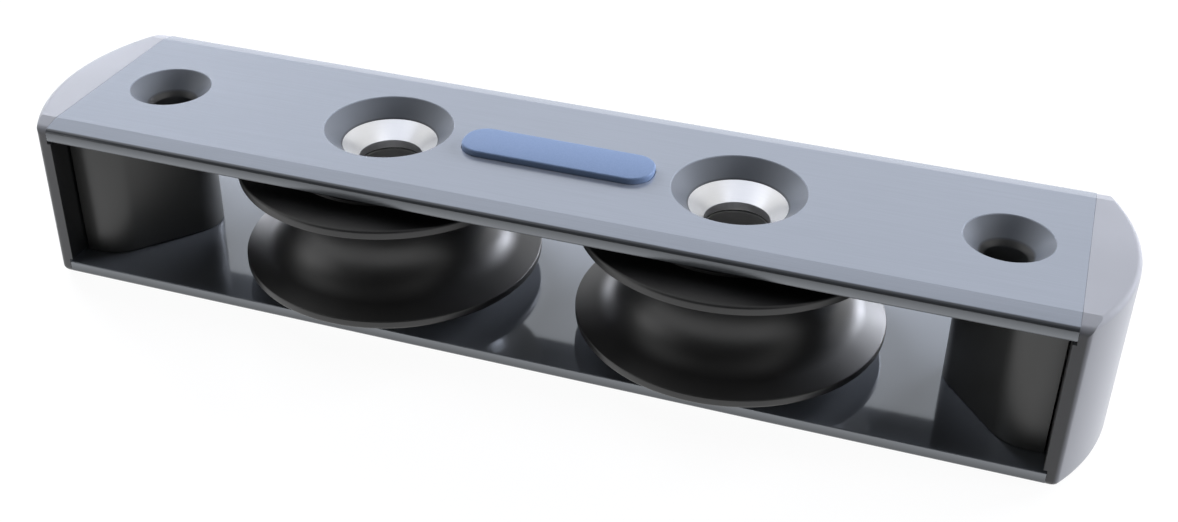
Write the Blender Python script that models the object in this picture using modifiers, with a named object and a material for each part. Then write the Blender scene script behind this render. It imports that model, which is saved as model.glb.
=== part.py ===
"""Deck organizer: two sheaves side by side between two bolted plates.

The turning block lies flat on the deck of a yacht. A pair of grooved sheaves turns on
flanged hubs that are clamped between a base plate and a top plate by one countersunk
bolt each. A fairlead block and a moulded cap close each end.

Frame: metres, +X along the plates, +Z up from the deck, origin on the deck under the middle.
"""

from math import atan2, cos, pi, radians, sin, sqrt, tan

import bmesh
import bpy
from mathutils import Matrix, Vector

# Fits between pieces
SEAT_GAP = 0.0003
RUNNING_GAP = 0.0003

# Plates: one extrusion, cut twice, the base one turned over
PLATE_WIDTH = 0.0386
PLATE_THICKNESS = 0.0028
PLATE_BEVEL_RUN = 0.0033
PLATE_BEVEL_DROP = 0.00076
PLATE_EDGE_RADIUS = 0.0005

# Sheaves, and the line's way between them and past their outer sides
SHEAVE_RADIUS = 0.0245
SHEAVE_HEIGHT = 0.0178
SHEAVE_RIM_THICKNESS = 0.0014
SHEAVE_RIM_ROUND = 0.0004
SHEAVE_WAIST_WALL = 0.0043
SHEAVE_BOSS_WALL = 0.0045
SHEAVE_BOSS_HEIGHT = 0.0005
MIDDLE_LINE_GAP = 0.0088
OUTER_LINE_GAP = 0.00945

# Bolt holes, both countersunk at 90 degrees
LARGE_BORE_RADIUS = 0.0051
LARGE_COUNTERSINK_RADIUS = 0.01044
SMALL_BORE_RADIUS = 0.0032
SMALL_COUNTERSINK_RADIUS = 0.00672
SMALL_BOLT_SETBACK = 0.00605

# Bolt seat, hub, bushing and washers, from the bolt outwards
SEAT_RING_WALL = 0.00146
SEAT_RING_LAND = 0.00136
HUB_WALL = 0.0014
HUB_FLANGE_REACH = 0.0035
HUB_FLANGE_THICKNESS = 0.0010
HUB_SPIGOT_WALL = 0.0017
BUSHING_WALL = 0.0014
WASHER_WALL = 0.0042
WASHER_THICKNESS = 0.0010

# Fairlead blocks
BLOCK_INSET = 0.0042
BLOCK_LENGTH = 0.0164
BLOCK_NOSE_RADIUS = 0.0053
BLOCK_SHOULDER_RADIUS = 0.0080
BLOCK_FLANK_ANGLE = radians(51.0)

# End caps
CAP_REACH = 0.0079
CAP_SIDE_REACH = 0.0021
CAP_LEDGE = 0.0006
CAP_LEDGE_GAP = 0.0005
CAP_EDGE_RADIUS = 0.0010
CAP_FOOT_RADIUS = 0.0013
CAP_CORNER_RADIUS = 0.0010
CAP_FOOT_CLEARANCE = 0.0004
CAP_WALL = 0.0022
TAIL_NECK_WIDTH = 0.0060
TAIL_FLARE = 0.0015
TAIL_DEPTH = 0.0028
CORE_SIDE_RIB = 0.0030
CORE_FLOOR = 0.0020
CORE_INSET = 0.0012

# Badge, a blank raised pad let into the top plate between the large countersinks
BADGE_END_MARGIN = 0.00286
BADGE_WIDTH = 0.0080
BADGE_END_FLAT = 0.0008
BADGE_HEIGHT = 0.00095
BADGE_POCKET_DEPTH = 0.0008
BADGE_OFFSET_Y = -0.0006

# Facets of the round pieces
SHEAVE_SEGMENTS = 48
HUB_SEGMENTS = 40
HOLE_SEGMENTS = 32
EDGE_STEPS = 3
CORNER_STEPS = 6
GROOVE_STEPS = 14
CAP_STEPS = 14
CORE_STEPS = 4
SMOOTH_ANGLE = radians(12.0)
WELD_DISTANCE = 0.000001
CUT_MARGIN = 0.002

# Heights, from the deck up
PLATE_GAP = (SHEAVE_HEIGHT + SHEAVE_BOSS_HEIGHT + HUB_FLANGE_THICKNESS
             + 2 * WASHER_THICKNESS + 3 * SEAT_GAP + 2 * RUNNING_GAP)
FLOOR_Z = PLATE_THICKNESS
CEILING_Z = FLOOR_Z + PLATE_GAP
TOP_Z = CEILING_Z + PLATE_THICKNESS
LOWER_WASHER_Z = FLOOR_Z + SEAT_GAP + HUB_FLANGE_THICKNESS + SEAT_GAP
SHEAVE_Z = LOWER_WASHER_Z + WASHER_THICKNESS + RUNNING_GAP
UPPER_WASHER_Z = SHEAVE_Z + SHEAVE_HEIGHT + SHEAVE_BOSS_HEIGHT + RUNNING_GAP

# The bolt head's cone, carried on below the top plate by the seat
SEAT_TOP_Z = CEILING_Z - SEAT_GAP
SEAT_THROAT_Z = TOP_Z - (LARGE_COUNTERSINK_RADIUS - LARGE_BORE_RADIUS)
SEAT_BOTTOM_Z = SEAT_THROAT_Z - SEAT_RING_LAND
SEAT_MOUTH_RADIUS = LARGE_COUNTERSINK_RADIUS - (TOP_Z - SEAT_TOP_Z)
SEAT_RING_RADIUS = SEAT_MOUTH_RADIUS + SEAT_RING_WALL

# Radii that follow from the fits
HUB_RECESS_RADIUS = SEAT_RING_RADIUS + SEAT_GAP
HUB_RADIUS = HUB_RECESS_RADIUS + HUB_WALL
HUB_FLANGE_RADIUS = HUB_RADIUS + HUB_FLANGE_REACH
HUB_SPIGOT_RADIUS = LARGE_BORE_RADIUS + HUB_SPIGOT_WALL
BUSHING_BORE = HUB_RADIUS + RUNNING_GAP
BUSHING_RADIUS = BUSHING_BORE + BUSHING_WALL
SHEAVE_BORE = BUSHING_RADIUS + SEAT_GAP
SHEAVE_WAIST_RADIUS = SHEAVE_BORE + SHEAVE_WAIST_WALL
SHEAVE_BOSS_RADIUS = SHEAVE_BORE + SHEAVE_BOSS_WALL
WASHER_BORE = HUB_RADIUS + RUNNING_GAP
WASHER_RADIUS = WASHER_BORE + WASHER_WALL

# Places along X, from the middle outwards
SHEAVE_X = SHEAVE_RADIUS + MIDDLE_LINE_GAP / 2
BLOCK_NOSE_X = SHEAVE_X + SHEAVE_RADIUS + OUTER_LINE_GAP
SMALL_BOLT_X = BLOCK_NOSE_X + SMALL_BOLT_SETBACK
BLOCK_END_X = BLOCK_NOSE_X + BLOCK_LENGTH
CAP_INNER_X = BLOCK_END_X + SEAT_GAP
CAP_OUTER_X = CAP_INNER_X + CAP_REACH
CAP_SHOULDER_X = CAP_INNER_X + CAP_LEDGE
PLATE_END_X = CAP_SHOULDER_X - SEAT_GAP

# Arc of a cap's outer wall, through its middle and its two sides
CAP_SAGITTA = CAP_REACH - CAP_SIDE_REACH
CAP_ARC_RADIUS = ((PLATE_WIDTH / 2) ** 2 + CAP_SAGITTA ** 2) / (2 * CAP_SAGITTA)
CAP_CENTER_X = CAP_OUTER_X - CAP_ARC_RADIUS

# Widths that follow
BLOCK_WIDTH = PLATE_WIDTH - 2 * BLOCK_INSET
TAIL_HEAD_WIDTH = TAIL_NECK_WIDTH + 2 * TAIL_FLARE
BADGE_LENGTH = 2 * (SHEAVE_X - LARGE_COUNTERSINK_RADIUS - BADGE_END_MARGIN)
BADGE_CORNER_RADIUS = (BADGE_WIDTH - BADGE_END_FLAT) / 2

SIDES = {"left": -1, "right": 1}


def clear_scene():
    for old in list(bpy.data.objects):
        bpy.data.objects.remove(old, do_unlink=True)


def make_collection(name):
    collection = bpy.data.collections.new(name)
    bpy.context.scene.collection.children.link(collection)
    return collection


def make_material(name, color, roughness, metallic):
    material = bpy.data.materials.new(name)
    material.use_nodes = True
    shader = material.node_tree.nodes["Principled BSDF"]
    shader.inputs["Base Color"].default_value = (*color, 1.0)
    shader.inputs["Roughness"].default_value = roughness
    shader.inputs["Metallic"].default_value = metallic
    return material


def arc(center, radius, start, end, steps):
    """Points along an arc, from one angle to another, both ends included."""
    return [
        (center[0] + radius * cos(start + (end - start) * i / steps),
         center[1] + radius * sin(start + (end - start) * i / steps))
        for i in range(steps + 1)
    ]


def mesh_object(name, mesh, collection):
    made = bpy.data.objects.new(name, mesh)
    collection.objects.link(made)
    return made


def settle(made):
    """Replace an object's data with the mesh that its modifiers or its curve give."""
    depsgraph = bpy.context.evaluated_depsgraph_get()
    mesh = bpy.data.meshes.new_from_object(made.evaluated_get(depsgraph))
    mesh.name = made.name
    work = bmesh.new()
    work.from_mesh(mesh)
    bmesh.ops.remove_doubles(work, verts=work.verts, dist=WELD_DISTANCE)
    bmesh.ops.recalc_face_normals(work, faces=work.faces)
    work.to_mesh(mesh)
    work.free()
    mesh.shade_smooth()
    mesh.set_sharp_from_angle(angle=SMOOTH_ANGLE)
    if made.type == "MESH":
        made.modifiers.clear()
        made.data = mesh
        return made
    name, place, home = made.name, made.matrix_world.copy(), made.users_collection[0]
    bpy.data.objects.remove(made, do_unlink=True)
    settled = mesh_object(name, mesh, home)
    settled.matrix_world = place
    return settled


def turned(name, points, segments, collection):
    """A line of (radius, height) points turned about Z, its ends both on the axis or the same."""
    mesh = bpy.data.meshes.new(name)
    work = bmesh.new()
    verts = [work.verts.new((radius, 0.0, height)) for radius, height in points]
    for first, second in zip(verts, verts[1:]):
        work.edges.new((first, second))
    work.to_mesh(mesh)
    work.free()
    made = mesh_object(name, mesh, collection)
    screw = made.modifiers.new("Turn", "SCREW")
    screw.steps = segments
    screw.render_steps = segments
    screw.use_merge_vertices = True
    screw.merge_threshold = WELD_DISTANCE
    return settle(made)


def turned_ring(name, profile, segments, collection):
    """A closed profile turned about Z. It runs down the outer side and back up the inner one."""
    return turned(name, list(profile) + [profile[0]], segments, collection)


def cone_cutter(name, profile, segments, collection):
    """A solid of (radius, height) points from top to bottom, closed on the axis at both ends."""
    points = [(0.0, profile[0][1])] + list(profile) + [(0.0, profile[-1][1])]
    return as_cutter(turned(name, points, segments, collection))


def extruded(name, outline, low, high, collection):
    """A closed outline in the XY plane, raised from one height to another."""
    curve = bpy.data.curves.new(name, "CURVE")
    curve.dimensions = "2D"
    curve.fill_mode = "BOTH"
    curve.extrude = (high - low) / 2
    spline = curve.splines.new("POLY")
    spline.points.add(len(outline) - 1)
    for point, (x, y) in zip(spline.points, outline):
        point.co = (x, y, 0.0, 1.0)
    spline.use_cyclic_u = True
    made = bpy.data.objects.new(name, curve)
    collection.objects.link(made)
    made.location.z = (low + high) / 2
    bpy.context.view_layer.update()
    settled = settle(made)
    settled.data.transform(settled.matrix_world)
    settled.matrix_world = Matrix.Identity(4)
    return settled


def extruded_along_x(name, section, start, end, collection):
    """A closed section of (y, z) points, drawn out along X."""
    made = extruded(name, section, start, end, collection)
    upright = Matrix(((0, 0, 1, 0), (1, 0, 0, 0), (0, 1, 0, 0), (0, 0, 0, 1)))
    made.data.transform(upright)
    return made


def box_cutter(name, low, high, collection):
    mesh = bpy.data.meshes.new(name)
    work = bmesh.new()
    bmesh.ops.create_cube(work, size=1.0)
    size = Vector(high) - Vector(low)
    center = (Vector(high) + Vector(low)) / 2
    bmesh.ops.scale(work, vec=size, verts=work.verts)
    bmesh.ops.translate(work, vec=center, verts=work.verts)
    work.to_mesh(mesh)
    work.free()
    return as_cutter(mesh_object(name, mesh, collection))


def as_cutter(made):
    made.hide_render = True
    made.display_type = "WIRE"
    return made


def cut(target, cutter, operation="DIFFERENCE"):
    boolean = target.modifiers.new(cutter.name, "BOOLEAN")
    boolean.operation = operation
    boolean.object = cutter
    boolean.solver = "EXACT"
    bpy.context.view_layer.update()
    return settle(target)


def placed(cutter, x):
    cutter.location.x = x
    bpy.context.view_layer.update()
    return cutter


def plate_section(flat_z, depth, up):
    """Section of a plate as (y, z), its flat at flat_z, and its long edges bevelled there."""
    half = PLATE_WIDTH / 2
    slope = atan2(PLATE_BEVEL_DROP, PLATE_BEVEL_RUN)
    tangent = PLATE_EDGE_RADIUS * (1 - sin(slope)) / cos(slope)
    center = (half - PLATE_EDGE_RADIUS, PLATE_BEVEL_DROP + tangent)
    outer = arc(center, PLATE_EDGE_RADIUS, 0.0, slope - pi / 2, EDGE_STEPS)
    side = [(half, depth)] + outer + [(half - PLATE_BEVEL_RUN, 0.0)]
    points = side + [(-y, z) for y, z in reversed(side)]
    return [(y, flat_z - up * z) for y, z in points]


def countersink_profile(top_z, countersink_radius, bore_radius, bottom_z):
    """Down a 90 degree countersink that opens at top_z, then down its bore."""
    seat_z = top_z - (countersink_radius - bore_radius)
    return [
        (countersink_radius + CUT_MARGIN, top_z + CUT_MARGIN),
        (bore_radius, seat_z),
        (bore_radius, bottom_z),
    ]


def bolt_places():
    """Each bolt's name, place along X, countersink and bore."""
    for side, sign in SIDES.items():
        yield f"large_{side}", sign * SHEAVE_X, LARGE_COUNTERSINK_RADIUS, LARGE_BORE_RADIUS
        yield f"small_{side}", sign * SMALL_BOLT_X, SMALL_COUNTERSINK_RADIUS, SMALL_BORE_RADIUS


def badge_outline(grow):
    half_length = BADGE_LENGTH / 2 + grow
    half_width = BADGE_WIDTH / 2 + grow
    radius = BADGE_CORNER_RADIUS + grow
    outline = []
    for quarter, (sx, sy) in enumerate(((1, 1), (-1, 1), (-1, -1), (1, -1))):
        center = (sx * (half_length - radius), sy * (half_width - radius))
        start = quarter * pi / 2
        outline += arc(center, radius, start, start + pi / 2, CORNER_STEPS)
    return [(x, y + BADGE_OFFSET_Y) for x, y in outline]


def build_top_plate(parts, cutters, material):
    plate = extruded_along_x(
        "top_plate", plate_section(TOP_Z, PLATE_THICKNESS, 1), -PLATE_END_X, PLATE_END_X, parts)
    for name, x, countersink, bore in bolt_places():
        profile = countersink_profile(TOP_Z, countersink, bore, CEILING_Z - CUT_MARGIN)
        cone = cone_cutter(f"top_hole_{name}", profile, HUB_SEGMENTS, cutters)
        plate = cut(plate, placed(cone, x))
    pocket = as_cutter(extruded(
        "badge_pocket", badge_outline(SEAT_GAP), TOP_Z - BADGE_POCKET_DEPTH, TOP_Z + CUT_MARGIN, cutters))
    plate = cut(plate, pocket)
    plate.data.materials.append(material)


def build_base_plate(parts, cutters, material):
    plate = extruded_along_x(
        "base_plate", plate_section(0.0, PLATE_THICKNESS, -1), -PLATE_END_X, PLATE_END_X, parts)
    spigot_hole = HUB_SPIGOT_RADIUS + SEAT_GAP
    for name, x, _, bore in bolt_places():
        radius = spigot_hole if name.startswith("large") else bore
        profile = [(radius, FLOOR_Z + CUT_MARGIN), (radius, -CUT_MARGIN)]
        hole = cone_cutter(f"base_hole_{name}", profile, HOLE_SEGMENTS, cutters)
        plate = cut(plate, placed(hole, x))
    plate.data.materials.append(material)


def build_badge(parts, material):
    badge = extruded(
        "badge", badge_outline(0.0), TOP_Z - BADGE_POCKET_DEPTH + SEAT_GAP, TOP_Z + BADGE_HEIGHT, parts)
    badge.data.materials.append(material)


def sheave_profile():
    """Outline of a sheave as (radius, height) above its lower face."""
    top = SHEAVE_HEIGHT
    rim = SHEAVE_RADIUS
    soft = SHEAVE_RIM_ROUND
    lip = SHEAVE_RIM_THICKNESS
    mid = SHEAVE_HEIGHT / 2
    half_mouth = mid - lip
    depth = rim - soft - SHEAVE_WAIST_RADIUS
    groove = (depth ** 2 + half_mouth ** 2) / (2 * depth)
    groove_center = (SHEAVE_WAIST_RADIUS + groove, mid)
    spread = atan2(half_mouth, SHEAVE_WAIST_RADIUS + groove - (rim - soft))
    upper_rim = (arc((rim - soft, top - soft), soft, pi / 2, 0.0, EDGE_STEPS)
                 + arc((rim - soft, top - lip + soft), soft, 0.0, -pi / 2, EDGE_STEPS))
    hollow = arc(groove_center, groove, pi - spread, pi + spread, GROOVE_STEPS)[1:-1]
    lower_rim = [(radius, 2 * mid - height) for radius, height in reversed(upper_rim)]
    return (
        [(SHEAVE_BORE, top + SHEAVE_BOSS_HEIGHT), (SHEAVE_BOSS_RADIUS, top + SHEAVE_BOSS_HEIGHT),
         (SHEAVE_BOSS_RADIUS, top)]
        + upper_rim + hollow + lower_rim
        + [(SHEAVE_BORE, 0.0)]
    )


def build_sheaves(parts, material):
    shape = None
    for side, sign in SIDES.items():
        if shape is None:
            sheave = turned_ring(f"sheave_{side}", sheave_profile(), SHEAVE_SEGMENTS, parts)
            sheave.data.materials.append(material)
            shape = sheave.data
        else:
            sheave = mesh_object(f"sheave_{side}", shape, parts)
        sheave.location = (sign * SHEAVE_X, 0.0, SHEAVE_Z)


def build_pair(name, profile, z, parts, material):
    """A turned piece on each sheave's axis, its heights counted from z."""
    shape = None
    for side, sign in SIDES.items():
        if shape is None:
            piece = turned_ring(f"{name}_{side}", profile, HUB_SEGMENTS, parts)
            piece.data.materials.append(material)
            shape = piece.data
        else:
            piece = mesh_object(f"{name}_{side}", shape, parts)
        piece.location = (sign * SHEAVE_X, 0.0, z)


def bushing_profile():
    height = SHEAVE_HEIGHT + SHEAVE_BOSS_HEIGHT
    return [(BUSHING_RADIUS, height), (BUSHING_RADIUS, 0.0), (BUSHING_BORE, 0.0), (BUSHING_BORE, height)]


def washer_profile():
    return [(WASHER_RADIUS, WASHER_THICKNESS), (WASHER_RADIUS, 0.0), (WASHER_BORE, 0.0),
            (WASHER_BORE, WASHER_THICKNESS)]


def hub_profile():
    """Flanged hub with a locating spigot below and a recess for the bolt seat above."""
    top = CEILING_Z - SEAT_GAP
    flange = FLOOR_Z + SEAT_GAP
    recess = SEAT_BOTTOM_Z - SEAT_GAP
    spigot = SEAT_GAP
    return [
        (HUB_RADIUS, top),
        (HUB_RADIUS, flange + HUB_FLANGE_THICKNESS),
        (HUB_FLANGE_RADIUS, flange + HUB_FLANGE_THICKNESS),
        (HUB_FLANGE_RADIUS, flange),
        (HUB_SPIGOT_RADIUS, flange),
        (HUB_SPIGOT_RADIUS, spigot),
        (LARGE_BORE_RADIUS, spigot),
        (LARGE_BORE_RADIUS, recess),
        (HUB_RECESS_RADIUS, recess),
        (HUB_RECESS_RADIUS, top),
    ]


def seat_ring_profile():
    """Conical ring that carries the bolt head's cone on below the top plate."""
    return [
        (SEAT_RING_RADIUS, SEAT_TOP_Z),
        (SEAT_RING_RADIUS, SEAT_BOTTOM_Z),
        (LARGE_BORE_RADIUS, SEAT_BOTTOM_Z),
        (LARGE_BORE_RADIUS, SEAT_THROAT_Z),
        (SEAT_MOUTH_RADIUS, SEAT_TOP_Z),
    ]


def tail_outline(neck_x, grow):
    """Dovetail that joins a block to its cap, from neck_x outwards."""
    neck = TAIL_NECK_WIDTH / 2 + grow
    head = TAIL_HEAD_WIDTH / 2 + grow
    tip = CAP_INNER_X + TAIL_DEPTH + grow
    return [(neck_x, -neck), (CAP_INNER_X - SEAT_GAP, -neck), (tip, -head), (tip, head),
            (CAP_INNER_X - SEAT_GAP, neck), (neck_x, neck)]


def block_outline():
    """Plan of a block: round nose inwards, flanks spreading to square shoulders."""
    half = BLOCK_WIDTH / 2
    angle = BLOCK_FLANK_ANGLE
    nose = (BLOCK_NOSE_X + BLOCK_NOSE_RADIUS, 0.0)
    leave = (nose[0] - BLOCK_NOSE_RADIUS * sin(angle), BLOCK_NOSE_RADIUS * cos(angle))
    corner_x = leave[0] + (half - leave[1]) / tan(angle)
    radius = min(BLOCK_SHOULDER_RADIUS, (BLOCK_END_X - corner_x) / tan(angle / 2))
    shoulder = (corner_x + radius * tan(angle / 2), half - radius)
    upper = (
        arc(nose, BLOCK_NOSE_RADIUS, pi, pi / 2 + angle, CORNER_STEPS)
        + arc(shoulder, radius, pi / 2 + angle, pi / 2, CORNER_STEPS)
        + [(BLOCK_END_X, half)]
    )
    lower = [(x, -y) for x, y in reversed(upper[1:])]
    return upper + lower


def build_blocks(parts, cutters, material):
    low = FLOOR_Z + SEAT_GAP
    high = CEILING_Z - SEAT_GAP
    block = extruded("fairlead_block_right", block_outline(), low, high, parts)
    tail = as_cutter(extruded(
        "block_tail", tail_outline(BLOCK_END_X - CUT_MARGIN, 0.0), low + CAP_LEDGE_GAP,
        high - CAP_LEDGE_GAP, cutters))
    block = cut(block, tail, "UNION")
    profile = countersink_profile(TOP_Z, SMALL_COUNTERSINK_RADIUS, SMALL_BORE_RADIUS, -CUT_MARGIN)
    bore = cone_cutter("block_bore", profile, HOLE_SEGMENTS, cutters)
    block = cut(block, placed(bore, SMALL_BOLT_X))
    block.data.materials.append(material)
    twin = mesh_object("fairlead_block_left", block.data, parts)
    twin.rotation_euler.z = pi


def cap_outline(inset):
    """Plan of a cap's outer wall, an arc that meets the front and back at soft corners."""
    half = PLATE_WIDTH / 2 - inset
    radius = CAP_ARC_RADIUS - inset
    soft = CAP_CORNER_RADIUS
    corner = (CAP_CENTER_X + sqrt((radius - soft) ** 2 - (half - soft) ** 2), half - soft)
    turn = atan2(corner[1], corner[0] - CAP_CENTER_X)
    sweep = arc((CAP_CENTER_X, 0.0), radius, -turn, turn, CAP_STEPS)
    bend = arc(corner, soft, turn, pi / 2, EDGE_STEPS)[1:]
    return [(x, -y) for x, y in reversed(bend)] + sweep + bend


def cap_levels():
    """Heights of the cap's rings, each with how far its outline is drawn in there."""
    top_center = TOP_Z - CAP_EDGE_RADIUS
    foot_center = CAP_FOOT_CLEARANCE + CAP_FOOT_RADIUS
    levels = [
        (foot_center - rise, CAP_FOOT_RADIUS - reach)
        for reach, rise in reversed(arc((0.0, 0.0), CAP_FOOT_RADIUS, 0.0, pi / 2, EDGE_STEPS))
    ]
    levels += [
        (top_center + rise, CAP_EDGE_RADIUS - reach)
        for reach, rise in arc((0.0, 0.0), CAP_EDGE_RADIUS, 0.0, pi / 2, EDGE_STEPS)
    ]
    return levels


def cap_blank(parts):
    """Solid cap, lofted up through its rings so that the outer edges come out rounded."""
    mesh = bpy.data.meshes.new("end_cap_right")
    work = bmesh.new()
    rings = []
    for height, inset in cap_levels():
        half = PLATE_WIDTH / 2 - inset
        plan = [(CAP_INNER_X, -half)] + cap_outline(inset) + [(CAP_INNER_X, half)]
        rings.append([work.verts.new((x, y, height)) for x, y in plan])
    count = len(rings[0])
    for lower, upper in zip(rings, rings[1:]):
        for index in range(count):
            after = (index + 1) % count
            work.faces.new((lower[index], lower[after], upper[after], upper[index]))
    work.faces.new(list(reversed(rings[0])))
    work.faces.new(rings[-1])
    work.to_mesh(mesh)
    work.free()
    return mesh_object("end_cap_right", mesh, parts)


def core_outline(side):
    """Plan of a cored-out pocket beside the dovetail, its outer side along the cap's arc."""
    near = TAIL_HEAD_WIDTH / 2 + SEAT_GAP + CORE_SIDE_RIB
    far = BLOCK_WIDTH / 2 - CORE_INSET
    radius = CAP_ARC_RADIUS - CAP_WALL
    back = []
    for step in range(CORE_STEPS + 1):
        y = near + (far - near) * step / CORE_STEPS
        back.append((CAP_CENTER_X + sqrt(radius ** 2 - y ** 2), y))
    outline = [(CAP_INNER_X - CUT_MARGIN, near)] + back + [(CAP_INNER_X - CUT_MARGIN, far)]
    if side < 0:
        outline = [(x, -y) for x, y in reversed(outline)]
    return outline


def build_caps(parts, cutters, material):
    cap = cap_blank(parts)
    section = plate_section(TOP_Z, TOP_Z + CUT_MARGIN, 1)
    reach = as_cutter(extruded_along_x(
        "cap_section", section, CAP_INNER_X - CUT_MARGIN, CAP_OUTER_X + CUT_MARGIN, cutters))
    cap = cut(cap, reach, "INTERSECT")
    ledge_low = FLOOR_Z + CAP_LEDGE_GAP
    ledge_high = CEILING_Z - CAP_LEDGE_GAP
    for name, low, high in (("top_rebate", ledge_high, TOP_Z + CUT_MARGIN),
                            ("base_rebate", -CUT_MARGIN, ledge_low)):
        rebate = box_cutter(f"cap_{name}", (CAP_INNER_X - CUT_MARGIN, -PLATE_WIDTH, low),
                            (CAP_SHOULDER_X, PLATE_WIDTH, high), cutters)
        cap = cut(cap, rebate)
    slot = as_cutter(extruded(
        "cap_slot", tail_outline(CAP_INNER_X - CUT_MARGIN, SEAT_GAP), FLOOR_Z,
        ledge_high + CUT_MARGIN, cutters))
    cap = cut(cap, slot)
    for side in (-1, 1):
        core = as_cutter(extruded(
            f"cap_core_{side}", core_outline(side), ledge_low + CORE_FLOOR, ledge_high - CORE_FLOOR, cutters))
        cap = cut(cap, core)
    cap.data.materials.append(material)
    twin = mesh_object("end_cap_left", cap.data, parts)
    twin.rotation_euler.z = pi


def main():
    clear_scene()
    parts = make_collection("deck_organizer")
    cutters = make_collection("cutters")
    anodised = make_material("anodised_plate", (0.40, 0.43, 0.50), 0.38, 0.9)
    moulded_grey = make_material("moulded_grey", (0.42, 0.44, 0.50), 0.34, 0.4)
    black_acetal = make_material("black_acetal", (0.025, 0.025, 0.026), 0.34, 0.0)
    hard_anodised = make_material("hard_anodised_hub", (0.05, 0.05, 0.05), 0.40, 0.6)
    stainless = make_material("polished_stainless", (0.80, 0.80, 0.82), 0.15, 1.0)
    bearing = make_material("bearing_plastic", (0.70, 0.68, 0.60), 0.45, 0.0)
    blue = make_material("badge_blue", (0.10, 0.17, 0.36), 0.40, 0.0)
    build_top_plate(parts, cutters, anodised)
    build_base_plate(parts, cutters, anodised)
    build_badge(parts, blue)
    build_sheaves(parts, black_acetal)
    build_pair("sheave_bushing", bushing_profile(), SHEAVE_Z, parts, bearing)
    build_pair("hub", hub_profile(), 0.0, parts, hard_anodised)
    build_pair("bolt_seat", seat_ring_profile(), 0.0, parts, stainless)
    build_pair("lower_thrust_washer", washer_profile(), LOWER_WASHER_Z, parts, bearing)
    build_pair("upper_thrust_washer", washer_profile(), UPPER_WASHER_Z, parts, bearing)
    build_blocks(parts, cutters, black_acetal)
    build_caps(parts, cutters, moulded_grey)


main()
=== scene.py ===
"""Deck organizer: its surfaces, finishes and studio, in metres, with +Z up from the deck."""

from math import atan2, cos, pi, radians, sin, sqrt, tan

import bmesh
import bpy
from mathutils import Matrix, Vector


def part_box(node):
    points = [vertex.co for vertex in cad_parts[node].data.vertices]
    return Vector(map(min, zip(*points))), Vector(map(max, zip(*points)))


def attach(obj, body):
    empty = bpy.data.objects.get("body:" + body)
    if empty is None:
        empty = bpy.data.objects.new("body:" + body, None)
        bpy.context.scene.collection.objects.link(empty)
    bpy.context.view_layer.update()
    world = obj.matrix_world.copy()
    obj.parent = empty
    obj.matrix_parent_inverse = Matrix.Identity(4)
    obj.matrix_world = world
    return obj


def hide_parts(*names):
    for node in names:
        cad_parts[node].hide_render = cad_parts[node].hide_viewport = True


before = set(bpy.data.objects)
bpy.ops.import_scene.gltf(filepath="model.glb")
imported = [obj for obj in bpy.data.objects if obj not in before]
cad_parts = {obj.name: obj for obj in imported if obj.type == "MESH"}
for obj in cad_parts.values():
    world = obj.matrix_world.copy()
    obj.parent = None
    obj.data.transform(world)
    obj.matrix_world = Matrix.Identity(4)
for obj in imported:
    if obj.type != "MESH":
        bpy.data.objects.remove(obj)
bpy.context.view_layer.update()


# Camera. It stands in front of the organizer and a little to its right, and looks down on it
# at 29 degrees, as the picture does.
camera_data = bpy.data.cameras.new("camera")
camera_data.sensor_width = 36.0
camera_data.lens = 47.013
camera_data.clip_start = 0.005
camera_data.clip_end = 30.0
camera = bpy.data.objects.new("camera", camera_data)
camera.location = (0.0697408, -0.1980341, 0.1446744)
camera.rotation_euler = (0.9972346, -0.0169986, 0.3256696)
bpy.context.scene.collection.objects.link(camera)
bpy.context.scene.camera = camera


# Base plate. A bar of extruded aluminium with bevelled long edges, sawn to length, bored for
# the hubs' spigots and the end bolts, and satin anodised. It lies bevel down on the deck.
def stand(name, work):
    """A new object from a bmesh, its doubles merged and its faces turned outwards."""
    bmesh.ops.remove_doubles(work, verts=work.verts, dist=1e-6)
    bmesh.ops.recalc_face_normals(work, faces=work.faces)
    mesh = bpy.data.meshes.new(name)
    work.to_mesh(mesh)
    work.free()
    piece = bpy.data.objects.new(name, mesh)
    bpy.context.scene.collection.objects.link(piece)
    return piece


def made_plain(piece, angle=32.0):
    """Put what the modifiers give into the piece's own mesh, smooth up to an angle."""
    seen = piece.evaluated_get(bpy.context.evaluated_depsgraph_get())
    mesh = bpy.data.meshes.new_from_object(seen)
    piece.modifiers.clear()
    old, piece.data = piece.data, mesh
    bpy.data.meshes.remove(old)
    work = bmesh.new()
    work.from_mesh(mesh)
    bmesh.ops.remove_doubles(work, verts=work.verts, dist=1e-6)
    bmesh.ops.recalc_face_normals(work, faces=work.faces)
    work.to_mesh(mesh)
    work.free()
    mesh.shade_smooth()
    mesh.set_sharp_from_angle(angle=radians(angle))
    mesh.name = piece.name
    return piece


def bend(center, radius, start, end, steps):
    """Points along an arc, both ends included."""
    return [(center[0] + radius * cos(start + (end - start) * i / steps),
             center[1] + radius * sin(start + (end - start) * i / steps)) for i in range(steps + 1)]


def bored(piece, cutters, operation="DIFFERENCE", angle=32.0):
    """Cut a piece with cutters, or join or trim it with them, and throw the cutters away."""
    for cutter in cutters:
        boolean = piece.modifiers.new(cutter.name, "BOOLEAN")
        boolean.solver = "EXACT"
        boolean.operation = operation
        boolean.object = cutter
    made_plain(piece, angle)
    for cutter in cutters:
        bpy.data.objects.remove(cutter, do_unlink=True)
    return piece


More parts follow.
